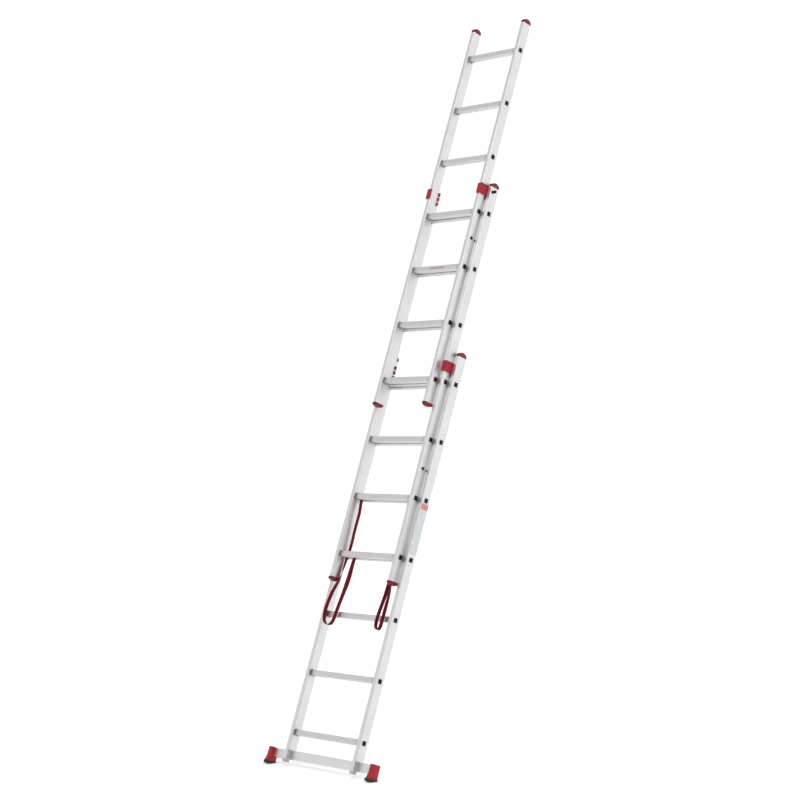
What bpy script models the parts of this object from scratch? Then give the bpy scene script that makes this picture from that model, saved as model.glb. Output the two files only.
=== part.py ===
"""Three-section aluminium combination ladder, drawn out to its full height and leaning at a wall.

Every section is drawn in its own upright frame: x across the ladder, y from the climbing side
to the wall side, z up along the stiles, with z = 0 on the middle of the section's lowest rung and
y = 0 on the front of its stiles. Three empties carry these frames. They lean together, and the
middle and top section slide along their own z axis.
"""

from math import acos, cos, pi, radians, sin

import bmesh
import bpy
from mathutils import Matrix, Vector

# ---------------------------------------------------------------- driving dimensions, in metres
LEAN = radians(19.5)            # how far the stiles lean back from upright
PITCH = 0.280                   # rung to rung
RUNGS = 7                       # rungs in each section
EXTENSION = 3                   # pitches that each upper section is drawn out above its neighbour
GAP = 0.0003                    # left between pieces that touch

STILE_DEPTH = 0.048             # front to back
STILE_THICK = 0.021             # across the ladder
STILE_WALL = 0.0016
STILE_RADIUS = 0.0025           # outside corners of the stile tube
TOP_WIDTH = 0.360               # over the stiles of the top section
WIDTH_STEP = 0.061              # each section is this much wider than the one in front of it
DEPTH_STEP = 0.0375             # each section stands this far in front of the one below
HEAD = 0.133                    # stile above the highest rung, bottom and middle sections
TOP_HEAD = 0.142                # the same on the top section
TAIL = 0.114                    # stile below the lowest rung, upper two sections
BASE_TAIL = 0.128               # stile below the lowest rung, bottom section

RUNG_DEPTH = 0.025
RUNG_HEIGHT = 0.026
RUNG_WALL = 0.0015
RUNG_RADIUS = 0.002

CAP_HEIGHT = 0.023              # red cap on each stile head
DOME_SHARE = 0.5                # part of a cap's or plug's height that is domed
FOOT_HEIGHT = 0.019             # red plug under the stiles of the upper sections
PLUG_RIM = 0.003                # plug proud of the stile at the front
SPIGOT = 0.018                  # how far caps and plugs reach into the stile
SPIGOT_PLAY = 0.0008            # around a spigot inside the stile

BAR_TOP = -0.084                # stabiliser bar, in the bottom section's frame
BAR_HEIGHT = 0.042
BAR_DEPTH = 0.018
BAR_FRONT = 0.0225
BAR_HALF = 0.350
BAR_WALL = 0.002

SHOE_INNER = 0.335              # shoe on each bar end: nearest and farthest from the middle
SHOE_OUTER = 0.361
SHOE_TOP = -0.0825
SHOE_FRONT = 0.003
SHOE_BACK = 0.0435
SOLE_TOP = -0.147
FLOOR_DROP = 0.1569             # lowest rung's middle above the floor, for a point at y = 0
SOLE_MARGIN = 0.003             # rubber sole proud of the shoe across the ladder

GUIDE_HEIGHT = 0.050            # red guide that holds the next section's stile
GUIDE_LEG = 0.066               # leg at the back of the guide
GUIDE_WALL = 0.0052
GUIDE_PLAY = 0.0008             # between guide and the stile that slides in it
MIDDLE_GUIDE_TOP = 1.816
BOTTOM_GUIDE_TOP = 1.777

HOOK_WIDTH = 0.012
HOOK_STEEL = 0.005
TOP_BOLT_Z = 0.703
MIDDLE_BOLT_Z = 0.4205
BOLT_Y = 0.021
BOLT_RADIUS = 0.003
BOLT_HEAD_RADIUS = 0.0062
BOLT_HEAD = 0.004

STRAP_WIDTH = 0.021
STRAP_THICK = 0.0016
PLAN_SHIFT = -0.5449            # puts the middle of the ladder's floor plan over the origin

BOTTOM_WIDTH = TOP_WIDTH + 2 * WIDTH_STEP
MIDDLE_WIDTH = TOP_WIDTH + WIDTH_STEP
BAR_BOTTOM = BAR_TOP - BAR_HEIGHT
RUNG_BACK = (STILE_DEPTH + RUNG_DEPTH) / 2
RUNG_FRONT = (STILE_DEPTH - RUNG_DEPTH) / 2


# ---------------------------------------------------------------- scene, collections, materials
def clear_scene():
    for obj in list(bpy.data.objects):
        bpy.data.objects.remove(obj, do_unlink=True)


def new_collection(name):
    collection = bpy.data.collections.new(name)
    bpy.context.scene.collection.children.link(collection)
    return collection


def material(name, colour, roughness, metallic=0.0):
    made = bpy.data.materials.new(name)
    made.use_nodes = True
    shader = made.node_tree.nodes["Principled BSDF"]
    shader.inputs["Base Color"].default_value = (*colour, 1.0)
    shader.inputs["Roughness"].default_value = roughness
    shader.inputs["Metallic"].default_value = metallic
    return made


clear_scene()
LADDER = new_collection("extension_ladder")
CUTTERS = new_collection("cutters")
ALUMINIUM = material("aluminium", (0.82, 0.83, 0.84), 0.35, 1.0)
RED_PLASTIC = material("red_plastic", (0.55, 0.02, 0.03), 0.40)
GREY_PLASTIC = material("grey_plastic", (0.16, 0.16, 0.17), 0.55)
RUBBER = material("rubber", (0.02, 0.02, 0.02), 0.80)
ZINC_STEEL = material("zinc_steel", (0.62, 0.63, 0.65), 0.30, 1.0)
WEBBING = material("red_webbing", (0.28, 0.01, 0.02), 0.90)


# ---------------------------------------------------------------- frames of the three sections
def section_frame(name, y, z):
    """An empty that leans with the ladder, at (0, y, z) of the bottom section's frame."""
    empty = bpy.data.objects.new(name, None)
    LADDER.objects.link(empty)
    empty.rotation_euler = (-LEAN, 0.0, 0.0)
    across = y * cos(LEAN) + z * sin(LEAN)
    height = z * cos(LEAN) - y * sin(LEAN)
    empty.location = (0.0, PLAN_SHIFT + across, FLOOR_DROP + height)
    return empty


BOTTOM = section_frame("bottom_section", 0.0, 0.0)
MIDDLE = section_frame("middle_section", -DEPTH_STEP, EXTENSION * PITCH)
TOP = section_frame("top_section", -2 * DEPTH_STEP, 2 * EXTENSION * PITCH)


# ---------------------------------------------------------------- modelling helpers
def adopt(obj, name, parent, slot):
    """Name an object, put it in the ladder under its section, and give it its material."""
    obj.name = name
    obj.data.name = name
    for collection in list(obj.users_collection):
        collection.objects.unlink(obj)
    LADDER.objects.link(obj)
    obj.parent = parent
    obj.data.materials.clear()
    obj.data.materials.append(slot)
    return obj


def as_cutter(obj, name, parent):
    obj.name = name
    for collection in list(obj.users_collection):
        collection.objects.unlink(obj)
    CUTTERS.objects.link(obj)
    obj.parent = parent
    obj.hide_render = True
    obj.display_type = "WIRE"
    return obj


def box(x, y, z):
    """A cube primitive between the pairs x, y and z, with its scale applied to the mesh."""
    bpy.ops.mesh.primitive_cube_add(size=1.0)
    obj = bpy.context.active_object
    size = (x[1] - x[0], y[1] - y[0], z[1] - z[0])
    centre = ((x[0] + x[1]) / 2, (y[0] + y[1]) / 2, (z[0] + z[1]) / 2)
    obj.data.transform(Matrix.Translation(centre) @ Matrix.Diagonal((*size, 1.0)))
    return obj


def cylinder(radius, start, end, segments=16):
    """A capped cylinder primitive from one point to another."""
    start, end = Vector(start), Vector(end)
    bpy.ops.mesh.primitive_cylinder_add(radius=radius, depth=(end - start).length, vertices=segments)
    obj = bpy.context.active_object
    turn = (end - start).to_track_quat("Z", "Y").to_matrix().to_4x4()
    obj.data.transform(Matrix.Translation((start + end) / 2) @ turn)
    return obj


def rounded_rectangle(width, height, radius, steps=2):
    """Corner points of a rounded rectangle about the origin, anticlockwise."""
    points = []
    for corner in range(4):
        sx = 1 if corner in (0, 3) else -1
        sy = 1 if corner in (0, 1) else -1
        centre = (sx * (width / 2 - radius), sy * (height / 2 - radius))
        for step in range(steps + 1):
            angle = pi / 2 * (corner + step / steps)
            points.append((centre[0] + radius * cos(angle), centre[1] + radius * sin(angle)))
    return points


def extruded(outlines, length):
    """A closed mesh from 2D outlines in x and y, extruded from z = 0 to z = length."""
    curve = bpy.data.curves.new("outline", "CURVE")
    curve.dimensions = "2D"
    curve.fill_mode = "BOTH"
    curve.extrude = length / 2
    for outline in outlines:
        spline = curve.splines.new("POLY")
        spline.points.add(len(outline) - 1)
        for point, (x, y) in zip(spline.points, outline):
            point.co = (x, y, 0.0, 1.0)
        spline.use_cyclic_u = True
    source = bpy.data.objects.new("outline", curve)
    LADDER.objects.link(source)
    graph = bpy.context.evaluated_depsgraph_get()
    mesh = bpy.data.meshes.new_from_object(source.evaluated_get(graph))
    bpy.data.objects.remove(source, do_unlink=True)
    bpy.data.curves.remove(curve)
    work = bmesh.new()
    work.from_mesh(mesh)
    bmesh.ops.remove_doubles(work, verts=work.verts, dist=0.00001)
    bmesh.ops.recalc_face_normals(work, faces=work.faces)
    bmesh.ops.translate(work, vec=(0.0, 0.0, length / 2), verts=work.verts)
    work.to_mesh(mesh)
    work.free()
    obj = bpy.data.objects.new("outline", mesh)
    LADDER.objects.link(obj)
    return obj


def tube(width, height, radius, wall, length):
    """A rectangular tube along z, open at both ends."""
    inner = rounded_rectangle(width - 2 * wall, height - 2 * wall, max(radius - wall, 0.0004), 1)
    return extruded([rounded_rectangle(width, height, radius), inner], length)


def side_profile(points, x):
    """An outline of (y, z) points, extruded across the ladder between the pair x."""
    obj = extruded([points], x[1] - x[0])
    to_side = Matrix(((0, 0, 1, x[0]), (1, 0, 0, 0), (0, 1, 0, 0), (0, 0, 0, 1)))
    obj.data.transform(to_side)
    return obj


def bevel(obj, width, segments=1):
    modifier = obj.modifiers.new("edges", "BEVEL")
    modifier.width = width
    modifier.segments = segments
    modifier.limit_method = "ANGLE"
    modifier.angle_limit = radians(35)


def boolean(obj, other, operation):
    modifier = obj.modifiers.new(operation.lower(), "BOOLEAN")
    modifier.operation = operation
    modifier.solver = "EXACT"
    modifier.object = other


def smooth(obj):
    obj.data.shade_smooth()
    obj.data.set_sharp_from_angle(angle=radians(30))


def mirrored(side, near, far):
    """The pair of x values that a piece spans on the left (-1) or right (+1) of the ladder."""
    return (near, far) if side > 0 else (-far, -near)


def side_name(side):
    return "right" if side > 0 else "left"


# ---------------------------------------------------------------- one section: stiles and rungs
def stile_head(label):
    """Height of a stile's upper end above its section's lowest rung."""
    return (RUNGS - 1) * PITCH + (TOP_HEAD if label == "top" else HEAD)


def stiles(label, parent, width, tail, cutters):
    length = tail + stile_head(label)
    for side in (-1, 1):
        stile = tube(STILE_THICK, STILE_DEPTH, STILE_RADIUS, STILE_WALL, length)
        middle = side * (width - STILE_THICK) / 2
        stile.data.transform(Matrix.Translation((middle, STILE_DEPTH / 2, -tail)))
        adopt(stile, f"{label}_stile_{side_name(side)}", parent, ALUMINIUM)
        for cutter in cutters:
            boolean(stile, cutter, "DIFFERENCE")
        smooth(stile)


def rung_holes(label, parent, width):
    """A row of square bars, a gap larger than the rungs, that opens both stiles."""
    half = (RUNG_DEPTH / 2 + GAP, RUNG_HEIGHT / 2 + GAP)
    holes = box((-width, width), (STILE_DEPTH / 2 - half[0], STILE_DEPTH / 2 + half[0]),
                (-half[1], half[1]))
    row = holes.modifiers.new("rungs", "ARRAY")
    row.count = RUNGS
    row.use_relative_offset = False
    row.use_constant_offset = True
    row.constant_offset_displace = (0.0, 0.0, PITCH)
    return as_cutter(holes, f"{label}_rung_holes", parent)


def rungs(label, parent, width):
    lie_across = Matrix(((0, 0, 1, -width / 2), (1, 0, 0, STILE_DEPTH / 2), (0, 1, 0, 0), (0, 0, 0, 1)))
    for number in range(RUNGS):
        rung = tube(RUNG_DEPTH, RUNG_HEIGHT, RUNG_RADIUS, RUNG_WALL, width)
        rung.data.transform(Matrix.Translation((0, 0, number * PITCH)) @ lie_across)
        adopt(rung, f"{label}_rung_{number + 1}", parent, ALUMINIUM)
        smooth(rung)


# ---------------------------------------------------------------- red caps, plugs and guides
def domed_outline(front, back, height, steps=8):
    """A stile end seen from the side: a straight wall under a shallow dome."""
    half = (back - front) / 2
    rise = height * DOME_SHARE
    radius = (half * half + rise * rise) / (2 * rise)
    sweep = pi / 2 - acos(half / radius)
    points = [(back, 0.0)]
    for step in range(steps + 1):
        angle = sweep * (1 - 2 * step / steps)
        points.append((front + half + radius * sin(angle), height - radius + radius * cos(angle)))
    points.append((front, 0.0))
    return points


def stile_end(name, parent, side, width, height, rim, z, up):
    """A cap over a stile's head (up = 1) or a plug under its tail (up = -1), with its spigot."""
    outer = width / 2
    x = mirrored(side, outer - STILE_THICK - rim / 3, outer + rim / 3)
    cap = side_profile(domed_outline(-rim, STILE_DEPTH + rim / 3, height), x)
    cap.data.transform(Matrix.Diagonal((1, 1, up, 1)))
    if up < 0:
        cap.data.flip_normals()
    cap.data.transform(Matrix.Translation((0, 0, z + up * GAP)))
    adopt(cap, name, parent, RED_PLASTIC)
    bevel(cap, 0.0018, 2)
    inset = STILE_WALL + SPIGOT_PLAY
    depth = (inset, STILE_DEPTH - inset)
    across = mirrored(side, outer - STILE_THICK + inset, outer - inset)
    ends = sorted((z + up * 0.004, z - up * SPIGOT))
    spigot = as_cutter(box(across, depth, ends), f"{name}_spigot", parent)
    boolean(cap, spigot, "UNION")
    smooth(cap)


def guide(name, parent, side, front_width, top):
    """A clip on the inside of a stile head, closed around the sliding stile but for its inner side."""
    outer = front_width / 2 + GUIDE_PLAY
    inner = front_width / 2 - STILE_THICK - GUIDE_PLAY
    front = -DEPTH_STEP - GUIDE_PLAY
    back = STILE_DEPTH - DEPTH_STEP + GUIDE_PLAY
    wall = GUIDE_WALL
    lip = 0.0045
    pad = front_width / 2 + WIDTH_STEP / 2 - STILE_THICK - GAP
    outline = [
        (inner, front - wall), (outer + wall, front - wall), (outer + wall, 0.001),
        (pad, 0.001), (pad, back + wall), (inner - lip, back + wall), (inner - lip, back - lip),
        (inner, back - lip), (inner, back), (outer, back), (outer, front), (inner, front),
    ]
    clip = extruded([[(side * x, y) for x, y in outline]], GUIDE_HEIGHT)
    clip.data.transform(Matrix.Translation((0, 0, top - GUIDE_HEIGHT)))
    adopt(clip, name, parent, RED_PLASTIC)
    bevel(clip, 0.0008)
    leg = box(mirrored(side, inner - 0.0035, pad - 0.001), (back + 0.0006, back + wall + 0.001),
              (top - GUIDE_LEG, top - 0.003))
    boolean(clip, as_cutter(leg, f"{name}_leg", parent), "UNION")


def hook(name, parent, side, width):
    """A steel hook on the back of a stile, over the rung of the section behind."""
    behind = DEPTH_STEP + RUNG_BACK + 0.0005
    plate = STILE_DEPTH + GAP
    over = RUNG_HEIGHT / 2 + 0.0008
    outline = [
        (plate, over), (behind, over), (behind, -0.008), (behind + HOOK_STEEL, -0.010),
        (behind + HOOK_STEEL, over + 0.006), (behind, over + 0.010), (plate + HOOK_STEEL, over + 0.010),
        (plate + HOOK_STEEL, 0.074), (plate, 0.076),
    ]
    centre = (width - STILE_THICK) / 2
    x = mirrored(side, centre - HOOK_WIDTH / 2, centre + HOOK_WIDTH / 2)
    steel = side_profile(outline, x)
    adopt(steel, name, parent, ZINC_STEEL)
    bevel(steel, 0.0006)


# ---------------------------------------------------------------- bolts
def side_bolt(label, parent, side, width, z):
    """A short hex bolt in a stile's outer wall, and the cutter that opens the wall for it."""
    face = side * width / 2
    tip = face - side * 0.016
    seat = face + side * GAP
    head = cylinder(BOLT_HEAD_RADIUS, (seat, BOLT_Y, z), (seat + side * BOLT_HEAD, BOLT_Y, z), 6)
    name = f"{label}_side_bolt_{side_name(side)}"
    adopt(head, name, parent, ZINC_STEEL)
    shank = cylinder(BOLT_RADIUS, (tip, BOLT_Y, z), (face + side * 0.002, BOLT_Y, z), 12)
    boolean(head, as_cutter(shank, f"{name}_shank", parent), "UNION")
    bevel(head, 0.0004)


def side_bolt_holes(label, parent, width, z):
    cutters = []
    for side in (-1, 1):
        face = side * width / 2
        inside, outside = face - side * 0.004, face + side * 0.002
        hole = cylinder(BOLT_RADIUS + GAP, (inside, BOLT_Y, z), (outside, BOLT_Y, z), 12)
        cutters.append(as_cutter(hole, f"{label}_bolt_hole_{side_name(side)}", parent))
    return cutters


# ---------------------------------------------------------------- stabiliser bar and its shoes
def bar_notches():
    """Opens the lower end of the bottom stiles behind their front wall, for insert and bar."""
    half = BOTTOM_WIDTH / 2 + 0.01
    notch = box((-half, half), (0.003, STILE_DEPTH + 0.01), (-BASE_TAIL - 0.01, BAR_TOP + GAP))
    return as_cutter(notch, "bar_notches", BOTTOM)


def bar_bolt_axis(side, radius, start, end):
    x = side * (BOTTOM_WIDTH - STILE_THICK) / 2
    z = BAR_TOP - BAR_HEIGHT / 2
    return cylinder(radius, (x, start, z), (x, end, z), 12)


def stabiliser_bar():
    bar = tube(BAR_DEPTH, BAR_HEIGHT, 0.0025, BAR_WALL, 2 * BAR_HALF)
    centre = (BAR_FRONT + BAR_DEPTH / 2, BAR_TOP - BAR_HEIGHT / 2)
    lie_across = Matrix(((0, 0, 1, -BAR_HALF), (1, 0, 0, centre[0]), (0, 1, 0, centre[1]), (0, 0, 0, 1)))
    bar.data.transform(lie_across)
    adopt(bar, "stabiliser_bar", BOTTOM, ALUMINIUM)
    for side in (-1, 1):
        hole = bar_bolt_axis(side, BOLT_RADIUS + GAP, BAR_FRONT - 0.005, BAR_FRONT + BAR_DEPTH + 0.005)
        boolean(bar, as_cutter(hole, f"bar_hole_{side_name(side)}", BOTTOM), "DIFFERENCE")
    smooth(bar)


def bar_bolt(side):
    back = BAR_FRONT + BAR_DEPTH + GAP
    name = f"bar_bolt_{side_name(side)}"
    head = bar_bolt_axis(side, BOLT_HEAD_RADIUS, back, back + 0.0036)
    adopt(head, name, BOTTOM, ZINC_STEEL)
    shank = bar_bolt_axis(side, BOLT_RADIUS, 0.008, back + 0.002)
    boolean(head, as_cutter(shank, f"{name}_shank", BOTTOM), "UNION")


def stile_insert(side):
    """Grey plug that fills the opened stile end in front of the bar and closes it underneath."""
    outer = BOTTOM_WIDTH / 2
    name = f"stile_insert_{side_name(side)}"
    inset = STILE_WALL + SPIGOT_PLAY
    back = BAR_FRONT - GAP
    block = box(mirrored(side, outer - STILE_THICK + 0.0005, outer - 0.0005), (0.003 + GAP, back),
                (-BASE_TAIL - GAP - 0.001, BAR_TOP))
    adopt(block, name, BOTTOM, GREY_PLASTIC)
    spigot = box(mirrored(side, outer - STILE_THICK + inset, outer - inset), (inset + 0.0015, back - 0.0005),
                 (BAR_TOP - 0.005, BAR_TOP + 0.025))
    lip = box(mirrored(side, outer - STILE_THICK - 0.001, outer + 0.001), (-0.001, back),
              (-BASE_TAIL - 0.013, -BASE_TAIL - GAP))
    bore = bar_bolt_axis(side, BOLT_RADIUS + GAP, 0.0075, back + 0.005)
    boolean(block, as_cutter(spigot, f"{name}_spigot", BOTTOM), "UNION")
    boolean(block, as_cutter(lip, f"{name}_lip", BOTTOM), "UNION")
    boolean(block, as_cutter(bore, f"{name}_bore", BOTTOM), "DIFFERENCE")


def floor_line(y):
    """Height of the floor in the bottom section's frame, at the depth y."""
    return (y * sin(LEAN) - FLOOR_DROP) / cos(LEAN)


def shoe(side):
    outline = [
        (SHOE_BACK, SHOE_TOP), (SHOE_FRONT, SHOE_TOP), (SHOE_FRONT - 0.001, SOLE_TOP + 0.025),
        (SHOE_FRONT - 0.003, SOLE_TOP + 0.015), (SHOE_FRONT - 0.007, SOLE_TOP + 0.004),
        (SHOE_FRONT - 0.007, SOLE_TOP), (SHOE_BACK + 0.001, SOLE_TOP), (SHOE_BACK + 0.0005, SOLE_TOP + 0.017),
    ]
    name = f"shoe_{side_name(side)}"
    body = side_profile(outline, mirrored(side, SHOE_INNER, SHOE_OUTER))
    adopt(body, name, BOTTOM, RED_PLASTIC)
    bevel(body, 0.0015)
    pocket = box(mirrored(side, SHOE_INNER - 0.01, BAR_HALF + GAP),
                 (BAR_FRONT - GAP, BAR_FRONT + BAR_DEPTH + GAP), (BAR_BOTTOM - GAP, BAR_TOP + GAP))
    boolean(body, as_cutter(pocket, f"{name}_pocket", BOTTOM), "DIFFERENCE")


def sole(side):
    """Rubber sole: square to the shoe in front, and level with the floor from there to the heel."""
    toe, ball, heel = SHOE_FRONT - 0.009, 0.014, SHOE_BACK + 0.0025
    under = floor_line(ball)
    outline = [
        (heel, SOLE_TOP - GAP), (toe, SOLE_TOP - GAP), (toe, under + 0.006),
        (toe + 0.004, under + 0.001), (toe + 0.009, under), (ball, under), (heel, floor_line(heel)),
    ]
    across = mirrored(side, SHOE_INNER - SOLE_MARGIN, SHOE_OUTER + SOLE_MARGIN)
    rubber = side_profile(outline, across)
    adopt(rubber, f"sole_{side_name(side)}", BOTTOM, RUBBER)


# ---------------------------------------------------------------- webbing straps
# Centre lines as (x, y, z) and the turn of the webbing about its own run, in degrees: 0 lies flat
# against the rungs, 90 stands edge-on to them. From the middle section's sixth rung, down over the
# fourth rung of the bottom section, round a loop below the fifth, and back up to the fourth.
LEFT_STRAP = [
    (-0.172, 0.0006, 1.126, 0), (-0.167, 0.0018, 1.080, 0), (-0.163, 0.0035, 1.040, 0),
    (-0.166, 0.0055, 0.990, 0), (-0.168, 0.0075, 0.945, 0), (-0.168, 0.0092, 0.895, 0),
    (-0.172, 0.0102, 0.850, 0), (-0.1765, 0.0095, 0.812, 5), (-0.178, 0.0075, 0.775, 20),
    (-0.178, 0.0055, 0.745, 45), (-0.182, 0.0030, 0.718, 70), (-0.191, 0.0000, 0.690, 82),
    (-0.202, -0.002, 0.655, 88), (-0.212, -0.002, 0.612, 90), (-0.216, -0.002, 0.575, 90),
    (-0.213, -0.002, 0.545, 90), (-0.205, -0.002, 0.524, 90), (-0.190, -0.002, 0.509, 90),
    (-0.172, -0.002, 0.505, 90), (-0.156, -0.002, 0.510, 90), (-0.145, -0.002, 0.526, 90),
    (-0.140, -0.002, 0.555, 90), (-0.133, -0.002, 0.600, 90), (-0.126, -0.002, 0.640, 88),
    (-0.122, 0.0000, 0.678, 75), (-0.121, 0.0050, 0.735, 40), (-0.124, 0.0085, 0.790, 15),
    (-0.122, 0.0102, 0.850, 0),
]
RIGHT_STRAP = [
    (0.157, 0.0006, 1.126, 0), (0.157, 0.0018, 1.080, 0), (0.158, 0.0040, 1.000, 0),
    (0.158, 0.0055, 0.920, 0), (0.158, 0.0060, 0.850, 0), (0.159, 0.0055, 0.790, 0),
    (0.161, 0.0045, 0.740, -20), (0.162, 0.0020, 0.700, -60), (0.160, -0.001, 0.660, -85),
    (0.155, -0.002, 0.620, -90), (0.149, -0.002, 0.580, -90), (0.147, -0.002, 0.545, -90),
    (0.151, -0.002, 0.519, -90), (0.161, -0.002, 0.506, -90), (0.173, -0.002, 0.506, -90),
    (0.181, -0.002, 0.519, -90), (0.183, -0.002, 0.555, -90), (0.184, -0.002, 0.605, -90),
    (0.184, -0.001, 0.650, -80), (0.180, 0.0025, 0.692, -65), (0.177, 0.0060, 0.722, -35),
    (0.177, 0.0095, 0.755, -5), (0.178, 0.0102, 0.800, 0), (0.178, 0.0102, 0.850, 0),
]


def smooth_route(points, per_span):
    """Catmull-Rom samples through the points; each sample keeps all four numbers."""
    samples = []
    last = len(points) - 1
    for index in range(last):
        before = points[max(index - 1, 0)]
        here, there = points[index], points[index + 1]
        after = points[min(index + 2, last)]
        for step in range(per_span):
            t = step / per_span
            samples.append(tuple(
                0.5 * (2 * b + (c - a) * t + (2 * a - 5 * b + 4 * c - d) * t * t
                       + (3 * b - a - 3 * c + d) * t ** 3)
                for a, b, c, d in zip(before, here, there, after)))
    samples.append(points[-1])
    return samples


def strap(name, route, per_span=2):
    """Webbing as one open ribbon along its route, made solid by Solidify."""
    samples = smooth_route(route, per_span)
    work = bmesh.new()
    rows = []
    for index, (x, y, z, turn) in enumerate(samples):
        ahead = samples[min(index + 1, len(samples) - 1)]
        behind = samples[max(index - 1, 0)]
        run = Vector(ahead[:3]) - Vector(behind[:3])
        flat = run.cross(Vector((0, 1, 0))).normalized()
        across = Matrix.Rotation(radians(turn), 3, run.normalized()) @ flat
        centre = Vector((x, y, z))
        rows.append([work.verts.new(centre + across * (STRAP_WIDTH / 2 * k)) for k in (-1, 1)])
    for (a, b), (c, d) in zip(rows, rows[1:]):
        work.faces.new((a, b, d, c))
    mesh = bpy.data.meshes.new(name)
    work.to_mesh(mesh)
    work.free()
    ribbon = bpy.data.objects.new(name, mesh)
    adopt(ribbon, name, BOTTOM, WEBBING)
    thickness = ribbon.modifiers.new("webbing", "SOLIDIFY")
    thickness.thickness = STRAP_THICK
    thickness.offset = 0.0
    return ribbon


# ---------------------------------------------------------------- build the ladder
def build_section(label, parent, width, tail, extra_cutters):
    cutters = [rung_holes(label, parent, width)] + extra_cutters
    stiles(label, parent, width, tail, cutters)
    rungs(label, parent, width)
    for side in (-1, 1):
        stile_end(f"{label}_cap_{side_name(side)}", parent, side, width, CAP_HEIGHT, 0.0,
                  stile_head(label), 1)


build_section("bottom", BOTTOM, BOTTOM_WIDTH, BASE_TAIL, [bar_notches()])
build_section("middle", MIDDLE, MIDDLE_WIDTH, TAIL,
              side_bolt_holes("middle", MIDDLE, MIDDLE_WIDTH, MIDDLE_BOLT_Z))
build_section("top", TOP, TOP_WIDTH, TAIL, side_bolt_holes("top", TOP, TOP_WIDTH, TOP_BOLT_Z))
stabiliser_bar()

for hand in (-1, 1):
    where = side_name(hand)
    stile_end(f"middle_plug_{where}", MIDDLE, hand, MIDDLE_WIDTH, FOOT_HEIGHT, PLUG_RIM, -TAIL, -1)
    stile_end(f"top_plug_{where}", TOP, hand, TOP_WIDTH, FOOT_HEIGHT, PLUG_RIM, -TAIL, -1)
    guide(f"bottom_guide_{where}", BOTTOM, hand, MIDDLE_WIDTH, BOTTOM_GUIDE_TOP)
    guide(f"middle_guide_{where}", MIDDLE, hand, TOP_WIDTH, MIDDLE_GUIDE_TOP)
    hook(f"middle_hook_{where}", MIDDLE, hand, MIDDLE_WIDTH)
    hook(f"top_hook_{where}", TOP, hand, TOP_WIDTH)
    side_bolt("middle", MIDDLE, hand, MIDDLE_WIDTH, MIDDLE_BOLT_Z)
    side_bolt("top", TOP, hand, TOP_WIDTH, TOP_BOLT_Z)
    stile_insert(hand)
    bar_bolt(hand)
    shoe(hand)
    sole(hand)

strap("strap_left", LEFT_STRAP)
strap("strap_right", RIGHT_STRAP)
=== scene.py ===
"""Looks for the three-section extension ladder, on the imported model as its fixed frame.

Every section is drawn in its own frame: x across the ladder, y from the climbing side to the wall
side, z up along the stiles, with z = 0 on its lowest rung and y = 0 on the front of its stiles.
"""

from math import asin, cos, pi, radians, sin

import bmesh
import bpy
from mathutils import Matrix, Vector


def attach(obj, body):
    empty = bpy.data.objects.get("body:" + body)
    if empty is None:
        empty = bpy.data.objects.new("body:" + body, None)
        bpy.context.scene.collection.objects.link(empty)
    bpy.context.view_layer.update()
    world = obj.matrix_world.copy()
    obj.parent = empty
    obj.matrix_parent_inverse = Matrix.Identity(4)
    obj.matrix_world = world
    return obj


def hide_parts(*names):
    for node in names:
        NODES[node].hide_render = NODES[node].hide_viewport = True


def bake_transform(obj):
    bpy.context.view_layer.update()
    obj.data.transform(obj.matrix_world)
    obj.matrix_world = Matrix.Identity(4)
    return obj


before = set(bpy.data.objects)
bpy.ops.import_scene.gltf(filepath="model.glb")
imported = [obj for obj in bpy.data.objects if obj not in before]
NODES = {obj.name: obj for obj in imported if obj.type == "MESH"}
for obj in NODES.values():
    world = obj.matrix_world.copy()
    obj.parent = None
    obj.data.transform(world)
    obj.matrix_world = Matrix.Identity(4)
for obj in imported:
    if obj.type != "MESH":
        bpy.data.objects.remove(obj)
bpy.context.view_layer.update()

# ---------------------------------------------------------------- dimensions shared with the CAD
LEAN = radians(19.5)            # how far the stiles lean back from upright
PLAN_SHIFT = -0.5449            # y of the bottom section's origin
FLOOR_DROP = 0.1569             # height of that origin above the floor
PITCH = 0.280                   # rung to rung
RUNGS = 7                       # in each section
STEP = 0.0375                   # each section stands this far in front of the one behind it
WIDTH_STEP = 0.0305             # and is this much narrower on each side
STILE_DEPTH = 0.048
STILE_THICK = 0.021
WIDTH = {"bottom": 0.482, "middle": 0.421, "top": 0.360}    # over the stiles
HEAD = {"bottom": 0.133, "middle": 0.133, "top": 0.142}     # stile above the top rung
CAP_HEIGHT = 0.023
FOOT_HEIGHT = 0.019
TAIL = 0.114                    # sliding stile below the lowest rung
BASE_TAIL = 0.128               # front web of the bottom section's stile below its lowest rung
BAR_TOP = -0.084                # top of the stabiliser bar
RUNG_DEPTH = 0.025
RUNG_HEIGHT = 0.026
CLEAR = 0.0003                  # gap between pieces that meet
SIDES = (-1, 1)                 # left, right

# ---------------------------------------------------------------- where the small pieces are
GUIDE_TOP = {"bottom": 1.777, "middle": 1.816}
SIDE_BOLT_HEIGHT = {"middle": 0.4205, "top": 0.703}
BOLT_DEPTH = 0.021              # y of a side bolt
SHADOW_DOT_DEPTH = 0.0435             # y of the black dot beside it, a painted shadow of the bolt head
SHADOW_DOT_DROP = 0.004               # how far that dot is below it
SIDE_STICKER = {"y": (0.003, 0.045), "z": (0.866, 1.1045)}
RUNG_STICKER = {"x": (-0.045, 0.055), "y": 0.01145, "z": (2 * PITCH - 0.004, 2 * PITCH + 0.004)}


def section_matrix(y, z):
    across = y * cos(LEAN) + z * sin(LEAN)
    height = z * cos(LEAN) - y * sin(LEAN)
    return (Matrix.Translation((0.0, PLAN_SHIFT + across, FLOOR_DROP + height))
            @ Matrix.Rotation(-LEAN, 4, "X"))


SECTION = {
    "bottom": section_matrix(0.0, 0.0),
    "middle": section_matrix(-STEP, 3 * PITCH),
    "top": section_matrix(-2 * STEP, 6 * PITCH),
}


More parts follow.
